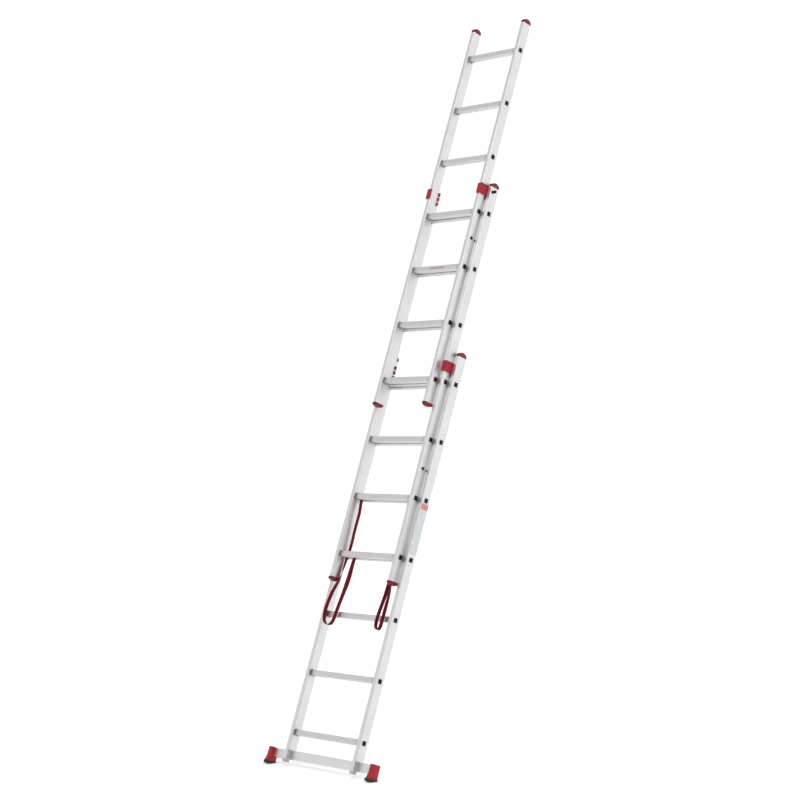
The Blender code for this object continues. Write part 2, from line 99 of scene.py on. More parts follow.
def hand(side):
    return "right" if side > 0 else "left"


# ---------------------------------------------------------------- camera
def make_camera():
    data = bpy.data.cameras.new("camera")
    data.sensor_width = 36.0
    data.lens = 92.74
    data.clip_end = 100.0
    camera = bpy.data.objects.new("camera", data)
    camera.location = (7.0290, -6.5351, 1.5046)
    camera.rotation_euler = (radians(90.962), 0.0, radians(47.470))
    bpy.context.scene.collection.objects.link(camera)
    bpy.context.scene.camera = camera


make_camera()


# ---------------------------------------------------------------- node helpers
class Nodes:
    """A material's node tree, written as short calls."""

    def __init__(self, name):
        self.material = bpy.data.materials.new(name)
        self.material.use_nodes = True
        self.tree = self.material.node_tree
        self.shader = self.tree.nodes["Principled BSDF"]

    def add(self, kind, inputs=None, **settings):
        node = self.tree.nodes.new(kind)
        for key, value in settings.items():
            setattr(node, key, value)
        for key, value in (inputs or {}).items():
            self.put(node.inputs[key], value)
        return node

    def put(self, socket, value):
        if isinstance(value, bpy.types.NodeSocket):
            self.tree.links.new(value, socket)
        else:
            socket.default_value = value

    def set(self, **values):
        for key, value in values.items():
            self.put(self.shader.inputs[key.replace("_", " ")], value)

    def coordinates(self, kind="Object", scale=(1, 1, 1), lean=0.0):
        source = self.add("ShaderNodeTexCoord").outputs[kind]
        turned = self.add("ShaderNodeMapping", {"Vector": source, "Rotation": (lean, 0, 0)})
        stretched = self.add("ShaderNodeMapping", {"Vector": turned.outputs[0], "Scale": scale})
        return stretched.outputs[0]

    def noise(self, vector, scale, detail=3.0, roughness=0.5):
        node = self.add("ShaderNodeTexNoise",
                        {"Vector": vector, "Scale": scale, "Detail": detail, "Roughness": roughness})
        return node.outputs["Fac"]

    def between(self, value, low, high, start=0.0, end=1.0):
        """value from start..end mapped onto low..high."""
        node = self.add("ShaderNodeMapRange", {"Value": value, "From Min": start, "From Max": end,
                                               "To Min": low, "To Max": high})
        return node.outputs["Result"]

    def mix(self, factor, first, second):
        """Colours mixed by factor; 0, 6, 7 and output 2 are the colour sockets of the node."""
        node = self.add("ShaderNodeMix", data_type="RGBA")
        self.put(node.inputs[0], factor)
        self.put(node.inputs[6], first)
        self.put(node.inputs[7], second)
        return node.outputs[2]

    def math(self, operation, first, second=0.0):
        node = self.add("ShaderNodeMath", operation=operation)
        self.put(node.inputs[0], first)
        self.put(node.inputs[1], second)
        return node.outputs[0]

    def bump(self, height, strength, distance):
        node = self.add("ShaderNodeBump", {"Height": height, "Strength": strength, "Distance": distance})
        self.put(self.shader.inputs["Normal"], node.outputs[0])


def rgb(value, tint=(1.0, 1.0, 1.0)):
    return (value * tint[0], value * tint[1], value * tint[2], 1.0)


# ---------------------------------------------------------------- materials
def aluminium(name, along, bright, dark, rough, lean=0.0, joint=None):
    """Mill-finish extrusion: die lines along its length, faint clouding, scuffs, painted shade at
    joints.
    """
    m = Nodes(name)
    lines = (700, 700, 4) if along == "z" else (4, 700, 700)
    die = m.noise(m.coordinates(scale=lines, lean=lean), 1.0, 4.0, 0.6)
    cloud = m.noise(m.coordinates(lean=lean), 9.0, 3.0)
    scuff = m.noise(m.coordinates(scale=(1, 1, 0.35), lean=lean), 140.0, 5.0, 0.7)
    tone = m.mix(m.between(die, 0.0, 1.0, 0.3, 0.7), rgb(dark), rgb(bright))
    clouded = m.mix(m.between(cloud, 0.0, 0.35, 0.35, 0.75), tone, rgb(dark, (0.97, 0.98, 1.0)))
    scuffs_and_end_shade = m.mix(m.between(scuff, 0.0, 0.5, 0.66, 0.8), clouded, rgb(dark * 0.86))
    if joint is not None:
        # painted shade, darker over the last 26 mm before each stile at x = joint, and plain again
        # inside it
        across = m.add("ShaderNodeSeparateXYZ", {"Vector": m.coordinates()}).outputs[0]
        reach = m.math("ABSOLUTE", across)
        painted_end_shade = m.math("MULTIPLY", m.between(reach, 0.0, 0.8, joint - 0.026, joint - 0.003),
                        m.between(reach, 1.0, 0.0, joint + 0.002, joint + 0.004))
        # the dark colour mixed in here is painted shade on the rung's ends
        scuffs_and_end_shade = m.mix(painted_end_shade, scuffs_and_end_shade, rgb(dark * 0.34))
    finish = m.math("ADD", m.between(die, rough - 0.05, rough + 0.07, 0.3, 0.7),
                    m.between(cloud, -0.03, 0.06, 0.3, 0.7))
    m.set(Base_Color=scuffs_and_end_shade, Metallic=1.0, Roughness=finish)
    m.bump(m.math("ADD", die, m.math("MULTIPLY", scuff, 0.3)), 0.18, 0.0003)
    return m.material


def plastic(name, colour, deep, rough, grain=900.0, lean=0.0, toe=None, gloss=0.5):
    """Moulded plastic: fine grain, slight flow shading, scuffs, and painted front shade if toe is set.
    """
    m = Nodes(name)
    where = m.coordinates(lean=lean)
    fine = m.noise(where, grain, 2.0)
    flow = m.noise(where, 28.0, 3.0)
    scuff = m.noise(where, 210.0, 5.0, 0.7)
    tone = m.mix(m.between(flow, 0.0, 1.0, 0.3, 0.7), (*deep, 1.0), (*colour, 1.0))
    wear_and_front_shade = m.mix(m.between(scuff, 0.0, 0.35, 0.62, 0.78), tone,
                 (*[min(1.0, c * 1.25 + 0.02) for c in colour], 1.0))
    if toe is not None:
        # painted shade: the front face, near object y = 0, goes to the dark toe colour
        depth = m.add("ShaderNodeSeparateXYZ", {"Vector": where}).outputs[1]
        wear_and_front_shade = m.mix(m.between(depth, 1.0, 0.0, 0.0, 0.008), wear_and_front_shade, (*toe, 1.0))
    finish = m.math("ADD", m.between(fine, rough - 0.05, rough + 0.05, 0.3, 0.7),
                    m.between(scuff, 0.0, 0.12, 0.55, 0.75))
    m.set(Base_Color=wear_and_front_shade, Roughness=finish, Specular_IOR_Level=gloss)
    m.bump(m.math("ADD", fine, m.math("MULTIPLY", scuff, 0.5)), 0.22, 0.0002)
    return m.material


def rubber(name):
    """Black rubber with a fine grain and patches of dust."""
    m = Nodes(name)
    where = m.coordinates()
    fine = m.noise(where, 1400.0, 2.0)
    dust = m.noise(where, 90.0, 5.0, 0.65)
    m.set(Base_Color=m.mix(m.between(dust, 0.0, 1.0, 0.5, 0.78), rgb(0.012), rgb(0.045)),
          Roughness=m.between(dust, 0.62, 0.88, 0.4, 0.7))
    m.bump(m.math("ADD", fine, dust), 0.35, 0.0003)
    return m.material


def zinc(name):
    """Zinc-plated steel: spangled, with slightly warm stains."""
    m = Nodes(name)
    where = m.coordinates()
    cells = m.add("ShaderNodeTexVoronoi", {"Vector": where, "Scale": 420.0}).outputs["Color"]
    shade = m.add("ShaderNodeSeparateColor", {"Color": cells}).outputs[0]
    stain = m.noise(where, 120.0, 4.0)
    tone = m.mix(shade, rgb(0.36), rgb(0.52))
    m.set(Base_Color=m.mix(m.between(stain, 0.0, 0.6, 0.5, 0.75), tone, (0.30, 0.27, 0.22, 1.0)),
          Metallic=1.0, Roughness=m.between(shade, 0.26, 0.42))
    m.bump(stain, 0.2, 0.0002)
    return m.material


def webbing(name):
    """Woven polyester: u runs along the strap in metres, v across it from 0 to 1."""
    rib_count, pick_pitch = 9, 0.0021
    m = Nodes(name)
    uv = m.add("ShaderNodeSeparateXYZ", {"Vector": m.add("ShaderNodeTexCoord").outputs["UV"]})
    u, v = uv.outputs[0], uv.outputs[1]
    ribs = m.math("SINE", m.math("MULTIPLY", v, 2 * pi * rib_count))
    picks = m.math("SINE", m.math("ADD", m.math("MULTIPLY", u, 2 * pi / pick_pitch),
                                  m.math("MULTIPLY", ribs, 1.1)))
    weave = m.math("MULTIPLY_ADD", m.math("MULTIPLY", ribs, picks), 0.5)
    weave.node.inputs[2].default_value = 0.5
    across = m.math("ABSOLUTE", m.math("SUBTRACT", v, 0.5))
    edge = m.between(across, 0.0, 1.0, 0.36, 0.43)
    fade = m.noise(m.coordinates("UV", (14, 1, 1)), 3.0, 4.0)
    body = m.mix(weave, (0.050, 0.003, 0.007, 1.0), (0.17, 0.006, 0.014, 1.0))
    selvedge = m.mix(weave, (0.30, 0.008, 0.018, 1.0), (0.56, 0.016, 0.032, 1.0))
    cloth = m.mix(edge, body, selvedge)
    m.set(Base_Color=m.mix(m.between(fade, 0.0, 0.3, 0.35, 0.75), cloth, (0.11, 0.005, 0.011, 1.0)),
          Roughness=m.between(weave, 0.72, 0.92), Sheen_Weight=0.06, Sheen_Roughness=0.4,
          Specular_IOR_Level=0.2)
    m.bump(weave, 0.6, 0.0004)
    return m.material


def sticker(name, header, head):
    """A plain pale sticker with grey blocks, coloured above head; it carries no words."""
    m = Nodes(name)
    coordinate = m.add("ShaderNodeTexCoord").outputs["UV"]
    v = m.add("ShaderNodeSeparateXYZ", {"Vector": coordinate}).outputs[1]
    blocks = m.add("ShaderNodeTexBrick", {
        "Vector": coordinate, "Scale": 7.0,
        "Color1": rgb(0.20, (0.88, 0.98, 1.08)), "Color2": rgb(0.46, (0.90, 1, 1.06)),
        "Mortar": rgb(0.70, (0.95, 1.0, 1.03)), "Mortar Size": 0.07,
        "Brick Width": 1.6, "Row Height": 0.2})
    fade = m.noise(coordinate, 22.0, 4.0)
    sheet = m.mix(m.between(fade, 0.0, 0.8, 0.4, 0.7), blocks.outputs["Color"],
                  rgb(0.74, (0.95, 1, 1.03)))
    top = m.mix(m.between(fade, 0.0, 0.8, 0.4, 0.65), (*header, 1.0), (0.62, 0.42, 0.40, 1.0))
    m.set(Base_Color=m.mix(m.between(v, 0.0, 1.0, head - 0.002, head + 0.002), sheet, top),
          Roughness=m.between(fade, 0.35, 0.5))
    m.bump(fade, 0.1, 0.0001)
    return m.material


STILE_ALU = aluminium("stile_aluminium", "z", 0.77, 0.69, 0.42)
# one rung material per section, so that the painted shade at the rung ends meets that section's stiles
RUNG_ALU = {label: aluminium(f"{label}_rung_aluminium", "x", 0.74, 0.64, 0.38,
                             joint=width / 2 - STILE_THICK)
            for label, width in WIDTH.items()}
BAR_ALU = aluminium("bar_aluminium", "x", 0.80, 0.72, 0.38, LEAN)
RED = plastic("red_moulding", (0.40, 0.007, 0.016), (0.26, 0.004, 0.010), 0.38, gloss=0.35)
# the toe colour of the caps and foot plugs is painted shade on their front faces
RED_PLUG = plastic("red_plug", (0.28, 0.008, 0.016), (0.16, 0.005, 0.010), 0.38,
                   toe=(0.060, 0.012, 0.016), gloss=0.35)
BLACK = plastic("black_plug", (0.010, 0.010, 0.011), (0.006, 0.006, 0.007), 0.42, gloss=0.15)
GREY = plastic("grey_insert", (0.48, 0.48, 0.485), (0.38, 0.38, 0.39), 0.5, 700.0, LEAN)
RUBBER = rubber("sole_rubber")
ZINC = zinc("zinc_plate")
DARK_STEEL = plastic("black_steel", (0.022, 0.022, 0.024), (0.012, 0.012, 0.014), 0.36, 700.0,
                     gloss=0.25)
WEBBING = webbing("red_webbing")
SHEET = sticker("side_sticker", (0.62, 0.10, 0.10), 0.885)
PRINT = sticker("rung_sticker", (0.34, 0.13, 0.13), 0.0)


# ---------------------------------------------------------------- mesh helpers
def rounded(width, height, radius, steps=4):
    """Corner points of a rounded rectangle about the origin, anticlockwise."""
    points = []
    for corner in range(4):
        sx = 1 if corner in (0, 3) else -1
        sy = 1 if corner in (0, 1) else -1
        centre = (sx * (width / 2 - radius), sy * (height / 2 - radius))
        for step in range(steps + 1):
            angle = pi / 2 * (corner + step / steps)
            points.append((centre[0] + radius * cos(angle), centre[1] + radius * sin(angle)))
    return points


def grooved(width, height, radius, rows, cut=0.0009, steps=3):
    """A rounded rectangle with lengthwise grooves: rows gives how many on +x, +y, -x and -y."""
    smooth = rounded(width, height, radius, steps)
    points = []
    per = steps + 1
    for corner in range(4):
        arc = smooth[corner * per:(corner + 1) * per]
        points += arc
        start, end = Vector(arc[-1]), Vector(smooth[((corner + 1) * per) % len(smooth)])
        side = (corner + 1) % 4
        count = rows[side]
        if not count:
            continue
        run = end - start
        inward = Vector((-run.y, run.x)).normalized() * cut
        for index in range(count):
            middle = (index + 0.5) / count
            wide = 0.28 / count if count > 3 else 0.06
            for share, depth in ((-1.0, 0), (-0.55, 1), (0.55, 1), (1.0, 0)):
                point = start + run * (middle + share * wide) + inward * depth
                points.append((point.x, point.y))
    return points


class Solid:
    """Collects lofts in one mesh."""

    def __init__(self):
        self.mesh = bmesh.new()

    def loft(self, rings, closed=True):
        """Rings of 3D points with equal counts, joined in order; closed caps the two ends."""
        rows = [[self.mesh.verts.new(p) for p in ring] for ring in rings]
        count = len(rows[0])
        for a, b in zip(rows, rows[1:]):
            for i in range(count):
                j = (i + 1) % count
                self.mesh.faces.new((a[i], a[j], b[j], b[i]))
        if closed:
            self.mesh.faces.new(list(reversed(rows[0])))
            self.mesh.faces.new(rows[-1])

    def done(self, name, material, matrix, bevel=0.0, segments=2, angle=32):
        return place(finished(self.mesh, name, material, angle), name, matrix, bevel, segments)


def finished(work, name, material, angle=None):
    """The collected faces as a mesh, smooth across edges of up to angle degrees, or flat."""
    bmesh.ops.recalc_face_normals(work, faces=work.faces)
    mesh = bpy.data.meshes.new(name)
    work.to_mesh(mesh)
    work.free()
    mesh.materials.append(material)
    if angle is not None:
        mesh.shade_smooth()
        mesh.set_sharp_from_angle(angle=radians(angle))
    return mesh


def place(mesh, name, matrix=None, bevel=0.0, segments=2):
    obj = bpy.data.objects.new(name, mesh)
    bpy.context.scene.collection.objects.link(obj)
    if matrix is not None:
        obj.matrix_world = matrix
    if bevel:
        edges = obj.modifiers.new("edges", "BEVEL")
        edges.width = bevel
        edges.segments = segments
        edges.limit_method = "ANGLE"
        edges.angle_limit = radians(35)
        edges.harden_normals = True
    flat = obj.modifiers.new("flat_faces", "WEIGHTED_NORMAL")
    flat.keep_sharp = True
    flat.weight = 90
    return obj


def along_x(outline, x, y=0.0, z=0.0):
    return [(x, y + a, z + b) for a, b in outline]


def along_z(outline, z, x=0.0, y=0.0):
    return [(x + a, y + b, z) for a, b in outline]


def rides(obj, label, slot, *nodes):
    """Says which section obj moves with and the CAD pieces that it stands in for; slot is not used."""
    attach(obj, f"{label}_section")
    if nodes:
        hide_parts(*nodes)


# ---------------------------------------------------------------- webbing straps
# The same centre lines as in the CAD: x, y, z in the bottom section's frame and the turn of the
# webbing about its own run, in degrees. 0 lies flat against the rungs, 90 stands edge-on to them.
STRAP_WIDTH = 0.021
STRAP_THICK = 0.0016
LEFT_STRAP = [
    (-0.172, 0.0006, 1.126, 0), (-0.167, 0.0018, 1.080, 0), (-0.163, 0.0035, 1.040, 0),
    (-0.166, 0.0055, 0.990, 0), (-0.168, 0.0075, 0.945, 0), (-0.168, 0.0092, 0.895, 0),
    (-0.172, 0.0102, 0.850, 0), (-0.1765, 0.0095, 0.812, 5), (-0.178, 0.0075, 0.775, 20),
    (-0.178, 0.0055, 0.745, 45), (-0.182, 0.0030, 0.718, 70), (-0.191, 0.0000, 0.690, 82),
    (-0.202, -0.002, 0.655, 88), (-0.212, -0.002, 0.612, 90), (-0.216, -0.002, 0.575, 90),
    (-0.213, -0.002, 0.545, 90), (-0.205, -0.002, 0.524, 90), (-0.190, -0.002, 0.509, 90),
    (-0.172, -0.002, 0.505, 90), (-0.156, -0.002, 0.510, 90), (-0.145, -0.002, 0.526, 90),
    (-0.140, -0.002, 0.555, 90), (-0.133, -0.002, 0.600, 90), (-0.126, -0.002, 0.640, 88),
    (-0.122, 0.0000, 0.678, 75), (-0.121, 0.0050, 0.735, 40), (-0.124, 0.0085, 0.790, 15),
    (-0.122, 0.0102, 0.850, 0),
]
RIGHT_STRAP = [
    (0.157, 0.0006, 1.126, 0), (0.157, 0.0018, 1.080, 0), (0.158, 0.0040, 1.000, 0),
    (0.158, 0.0055, 0.920, 0), (0.158, 0.0060, 0.850, 0), (0.159, 0.0055, 0.790, 0),
    (0.161, 0.0045, 0.740, -20), (0.162, 0.0020, 0.700, -60), (0.160, -0.001, 0.660, -85),
    (0.155, -0.002, 0.620, -90), (0.149, -0.002, 0.580, -90), (0.147, -0.002, 0.545, -90),
    (0.151, -0.002, 0.519, -90), (0.161, -0.002, 0.506, -90), (0.173, -0.002, 0.506, -90),
    (0.181, -0.002, 0.519, -90), (0.183, -0.002, 0.555, -90), (0.184, -0.002, 0.605, -90),
    (0.184, -0.001, 0.650, -80), (0.180, 0.0025, 0.692, -65), (0.177, 0.0060, 0.722, -35),
    (0.177, 0.0095, 0.755, -5), (0.178, 0.0102, 0.800, 0), (0.178, 0.0102, 0.850, 0),
]


def smooth_route(points, per_span):
    """Catmull-Rom samples through the points; each sample keeps all four numbers."""
    samples = []
    last = len(points) - 1
    for index in range(last):
        before = points[max(index - 1, 0)]
        here, there = points[index], points[index + 1]
        after = points[min(index + 2, last)]
        for step in range(per_span):
            t = step / per_span
            samples.append(tuple(
                0.5 * (2 * b + (c - a) * t + (2 * a - 5 * b + 4 * c - d) * t * t
                       + (3 * b - a - 3 * c + d) * t ** 3)
                for a, b, c, d in zip(before, here, there, after)))
    samples.append(points[-1])
    return samples


def strap(name, node, route):
    """Webbing with rounded selvedges, as a closed ribbon along its route."""
    samples = smooth_route(route, 6)
    half, thick = STRAP_WIDTH / 2, STRAP_THICK / 2
    steps = 12
    section = []
    for k in range(steps + 1):
        across = -1 + 2 * k / steps
        section.append((half * across, thick * (1.0 if abs(across) < 0.95 else 0.45)))
    outline = section + [(a, -b) for a, b in reversed(section)]
    work = bmesh.new()
    uv = work.loops.layers.uv.new("weave")
    centres = [SECTION["bottom"] @ Vector(s[:3]) for s in samples]
    rows, run_length = [], [0.0]
    for a, b in zip(centres, centres[1:]):
        run_length.append(run_length[-1] + (b - a).length)
    for index, sample in enumerate(samples):
        ahead = samples[min(index + 1, len(samples) - 1)]
        behind = samples[max(index - 1, 0)]
        run = (Vector(ahead[:3]) - Vector(behind[:3])).normalized()
        flat = run.cross(Vector((0, 1, 0))).normalized()
        across = Matrix.Rotation(radians(sample[3]), 3, run) @ flat
        up = across.cross(run)
        rows.append([work.verts.new(SECTION["bottom"] @ (Vector(sample[:3]) + across * a + up * b))
                     for a, b in outline])
    count = len(outline)
    for index, (first, second) in enumerate(zip(rows, rows[1:])):
        for i in range(count):
            j = (i + 1) % count
            face = work.faces.new((first[i], first[j], second[j], second[i]))
            for loop, (k, u) in zip(face.loops, ((i, 0), (j, 0), (j, 1), (i, 1))):
                loop[uv].uv = (run_length[index + u], 0.5 + outline[k][0] / STRAP_WIDTH)
    work.faces.new(list(reversed(rows[0])))
    work.faces.new(rows[-1])
    ribbon = place(finished(work, name, WEBBING, 50), name)
    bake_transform(ribbon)
    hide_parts(node)


# The slants keep both loops above the floor when the middle section is down.
strap("strap_left_webbing", "strap_left", LEFT_STRAP)
strap("strap_right_webbing", "strap_right", RIGHT_STRAP)


# ---------------------------------------------------------------- stiles
def stile(label, side):
    """Grooved extrusion; a bottom stile ends on the bar, with only its front web going further."""
    width = WIDTH[label]
    x = side * (width - STILE_THICK) / 2
    y = STILE_DEPTH / 2
    head = (RUNGS - 1) * PITCH + HEAD[label]
    outline = grooved(STILE_THICK, STILE_DEPTH, 0.0026, (3, 0, 3, 0), 0.0005, 4)
    solid = Solid()
    foot = BAR_TOP + CLEAR if label == "bottom" else -TAIL
    solid.loft([along_z(outline, foot, x, y), along_z(outline, head, x, y)])
    if label == "bottom":
        front = rounded(STILE_THICK, 0.003, 0.0012, 3)
        solid.loft([along_z(front, -BASE_TAIL, x, 0.0015), along_z(front, foot + 0.001, x, 0.0015)])
    name = f"{label}_stile_{hand(side)}"
    obj = solid.done(f"{name}_extrusion", STILE_ALU, SECTION[label], 0.0004, 1)
    rides(obj, label, "aluminium", name)


# ---------------------------------------------------------------- rungs and their black end plugs
def rung_mesh(label):
    """A grooved rung with a swage collar inside each stile and a thin flange outside it."""
    half = WIDTH[label] / 2
    solid = Solid()
    outline = grooved(RUNG_DEPTH, RUNG_HEIGHT, 0.0021, (2, 6, 2, 6))
    solid.loft([along_x(outline, -half - 0.0002), along_x(outline, half + 0.0002)])
    hug = rounded(RUNG_DEPTH - 0.001, RUNG_HEIGHT - 0.001, 0.002)
    # each: the stile face it stands on, which way it points, its height and its spread
    collars = ((half - STILE_THICK, -1, 0.0016, 0.0048), (half, 1, 0.0005, 0.003))
    for side in SIDES:
        for face, outward, tall, spread in collars:
            foot = rounded(RUNG_DEPTH + spread, RUNG_HEIGHT + spread, 0.0042)
            rim = rounded(RUNG_DEPTH + spread * 0.55, RUNG_HEIGHT + spread * 0.55, 0.0036)
            start = side * face
            end = side * (face + outward * tall)
            solid.loft([along_x(foot, start), along_x(foot, start + (end - start) * 0.55),
                        along_x(rim, end), along_x(hug, end)], closed=False)
    return finished(solid.mesh, f"{label}_rung", RUNG_ALU[label], 32)


def end_plug_mesh():
    """Moulded plug for a rung's end, along +x: a domed rim, a recessed centre and two ribs."""
    solid = Solid()
    rings = []
    for x, size, radius in ((-0.004, 0.0, 0.003), (0.0, 0.0, 0.003), (0.0007, -0.0004, 0.003),
                            (0.0011, -0.0022, 0.0026), (0.0012, -0.0075, 0.002),
                            (0.0006, -0.0085, 0.0018), (0.0005, -0.0130, 0.0012)):
        rings.append(along_x(rounded(0.0205 + size, 0.0215 + size, radius), x))
    solid.loft(rings)
    for z in (-0.0028, 0.0028):
        rib = rounded(0.0078, 0.0009, 0.0004, 2)
        solid.loft([along_x(rib, 0.0003, 0.0, z), along_x(rib, 0.0010, 0.0, z)])
    return finished(solid.mesh, "rung_end_plug", BLACK, 40)


def rungs(label, plug):
    mesh = rung_mesh(label)
    for number in range(1, RUNGS + 1):
        at = SECTION[label] @ Matrix.Translation((0, STILE_DEPTH / 2, (number - 1) * PITCH))
        name = f"{label}_rung_{number}"
        rides(place(mesh, f"{name}_tread", at, 0.0003, 1), label, "aluminium", name)
        for side in SIDES:
            turn = Matrix.Rotation(0.0 if side > 0 else pi, 4, "Z")
            end = at @ Matrix.Translation((side * WIDTH[label] / 2, 0, 0)) @ turn
            rides(place(plug, f"{name}_plug_{hand(side)}", end), label, "grey_plastic")


# ---------------------------------------------------------------- red mouldings
def domed_outline(front, back, height, steps=12):
    """A stile end seen from the side, from its joint face outward: a wall under a shallow dome."""
    half, rise = (back - front) / 2, height / 2
    radius = (half * half + rise * rise) / (2 * rise)
    sweep = asin(half / radius)
    points = [(back, 0.0)]
    for step in range(steps + 1):
        angle = sweep * (1 - 2 * step / steps)
        points.append((front + half + radius * sin(angle), height - radius + radius * cos(angle)))
    points.append((front, 0.0))
    return points


def stile_end(name, label, side, z, up, height, rim):
    """A cap on a stile's head (up = 1) or a plug under its tail (up = -1), with softened sides."""
    outer = WIDTH[label] / 2 + rim / 3
    inner = WIDTH[label] / 2 - STILE_THICK - rim / 3
    rings = []
    for x, inset in ((inner, 0.0019), (inner + 0.0005, 0.0009), (inner + 0.0012, 0.0003),
                     (inner + 0.0022, 0.0), (outer - 0.0022, 0.0), (outer - 0.0012, 0.0003),
                     (outer - 0.0005, 0.0009), (outer, 0.0019)):
        outline = domed_outline(-rim + inset, STILE_DEPTH + rim / 3 - inset, height - inset)
        rings.append(along_x([(y, z + up * h) for y, h in outline], side * x))
    solid = Solid()
    solid.loft(rings)
    line = rounded(STILE_THICK + 0.0006, STILE_DEPTH + 0.0006, 0.003)
    slim = rounded(STILE_THICK - 0.001, STILE_DEPTH - 0.001, 0.003)
    x, y = side * (WIDTH[label] - STILE_THICK) / 2, STILE_DEPTH / 2
    solid.loft([along_z(outline, z + up * h, x, y) for outline, h in
                ((slim, 0.0002), (line, 0.0007), (line, 0.0017), (slim, 0.0022))])
    obj = solid.done(f"{name}_moulding", RED_PLUG, SECTION[label], angle=35)
    rides(obj, label, "red_plastic", name)


def cap(label, side):
    z = (RUNGS - 1) * PITCH + HEAD[label] + CLEAR
    stile_end(f"{label}_cap_{hand(side)}", label, side, z, 1, CAP_HEIGHT - CLEAR, 0.0)


def foot_plug(label, side):
    z = -TAIL - CLEAR
    stile_end(f"{label}_plug_{hand(side)}", label, side, z, -1, FOOT_HEIGHT - CLEAR, 0.003)


def guide(label, front_width, top, side):
    """Clip for the sliding stile, with three sprung tabs behind it and two red bosses in front."""
    play, wall, height, lip = 0.0008, 0.0052, 0.050, 0.0045
    tabs, tab_drop, tab_pitch, tab_height = 3, 0.0655, 0.0240, 0.0170
    boss_inset = 0.011
    outer = front_width / 2 + play
    inner = front_width / 2 - STILE_THICK - play
    front = -STEP - play
    back = STILE_DEPTH - STEP + play
    pad = front_width / 2 + WIDTH_STEP - STILE_THICK - CLEAR
    jaw = [
        (inner, front - wall), (outer + wall, front - wall), (outer + wall, 0.001), (pad, 0.001),
        (pad, back + wall), (outer, back + wall), (outer, front), (inner, front),
    ]
    spring = [
        (pad - 0.001, back), (pad - 0.001, back + wall + 0.0006), (inner - lip, back + wall + 0.0006),
        (inner - lip, back - lip), (inner, back - lip), (inner, back),
    ]
    solid = Solid()
    ring = [(side * a, b) for a, b in jaw]
    solid.loft([along_z(ring, top - height), along_z(ring, top)])
    for index in range(tabs):
        low = top - tab_drop + index * tab_pitch
        tab = [(side * a, b) for a, b in spring]
        solid.loft([along_z(tab, low), along_z(tab, low + tab_height)])
    name = f"{label}_guide_{hand(side)}"
    obj = solid.done(f"{name}_moulding", RED, SECTION[label], 0.0009, 2)
    rides(obj, label, "red_plastic", name)
    for number, z in enumerate((top - boss_inset, top - height + boss_inset)):
        centre = ((inner + outer) / 2 * side, front - wall, z)
        rivet(f"{name}_rivet_{number + 1}", label, centre, (0, -1, 0), 0.0032, 0.0011, RED)


def rivet(name, label, centre, axis, radius, height, material):
    """A low domed head standing on a face at centre."""
    sides = 20
    dome = ((1.0, -0.2), (1.0, 0.25), (0.93, 0.55), (0.72, 0.85), (0.4, 0.98), (0.12, 1.0))
    solid = Solid()
    rings = []
    for share, level in dome:
        rings.append([(radius * share * cos(2 * pi * k / sides),
                       radius * share * sin(2 * pi * k / sides), height * level)
                      for k in range(sides)])
    solid.loft(rings)
    turn = Vector(axis).to_track_quat("Z", "Y").to_matrix().to_4x4()
    obj = solid.done(name, material, SECTION[label] @ Matrix.Translation(centre) @ turn, angle=40)
    rides(obj, label, "zinc_steel")


# ---------------------------------------------------------------- shoes and soles of the foot bar
def shoe(side):
    """Boot on the bar's end: straight sleeve above, flared skirt below, with two seam beads."""
    inner, outer, top = 0.335, 0.361, -0.0827
    x = side * (inner + outer) / 2
    # each: z from the top, y of the front and of the back, and growth on each side
    levels = [
        (0.0000, 0.0040, 0.0430, -0.0006), (-0.0011, 0.0034, 0.0434, 0.0),
        (-0.0173, 0.0028, 0.0436, 0.0), (-0.0353, 0.0022, 0.0438, 0.0),
        (-0.0453, 0.0008, 0.0441, 0.0001), (-0.0533, -0.0016, 0.0443, 0.0003),
        (-0.0593, -0.0036, 0.0445, 0.0005), (-0.0623, -0.0040, 0.0445, 0.0006),
        (-0.0643, -0.0038, 0.0443, 0.0004),
    ]
    rings = []
    for drop, front, back, grow in levels:
        outline = rounded(outer - inner + 2 * grow, back - front, 0.0030)
        rings.append(along_z(outline, top + drop, x, (front + back) / 2))
    solid = Solid()
    solid.loft(rings)
    bead = rounded(outer - inner + 0.0008, 0.0412, 0.0032)
    slim = rounded(outer - inner - 0.0004, 0.0404, 0.0030)
    middle = 0.0232
    for z in (top - 0.0048, top - 0.0378):
        solid.loft([along_z(slim, z - 0.0009, x, middle), along_z(bead, z - 0.0004, x, middle),
                    along_z(bead, z + 0.0004, x, middle), along_z(slim, z + 0.0009, x, middle)])
    name = f"shoe_{hand(side)}"
    obj = solid.done(f"{name}_boot", RED, SECTION["bottom"], angle=30)
    rides(obj, "bottom", "red_plastic", name)


def floor_line(y):
    """Height of the floor at y, in the bottom section's frame."""
    return (y * sin(LEAN) - FLOOR_DROP) / cos(LEAN)


def sole(side):
    """Rubber sole with cross grooves under its level part."""
    toe, ball, heel, top = -0.006, 0.014, 0.046, -0.1473
    inner, outer = 0.3322, 0.3638
    low = floor_line(ball)
    outline = [(heel - 0.0015, top), (toe + 0.001, top), (toe, top - 0.002), (toe, low + 0.007),
               (toe + 0.0035, low + 0.0016), (toe + 0.009, low + 0.0002), (ball - 0.002, low + 0.0001)]
    treads = 5
    span = heel - ball - 0.001
    for index in range(treads):
        for share, cut in ((0.06, 0.0), (0.68, 0.0), (0.72, 0.0016), (0.96, 0.0016)):
            y = ball + span * (index + share) / treads
            outline.append((y, floor_line(y) + cut + 0.00005))
    outline += [(heel, floor_line(heel) + 0.0001), (heel, top - 0.001)]
    solid = Solid()
    solid.loft([along_x(outline, side * inner), along_x(outline, side * outer)])
    name = f"sole_{hand(side)}"
    obj = solid.done(f"{name}_tread", RUBBER, SECTION["bottom"], 0.0006, 2)
    rides(obj, "bottom", "rubber", name)


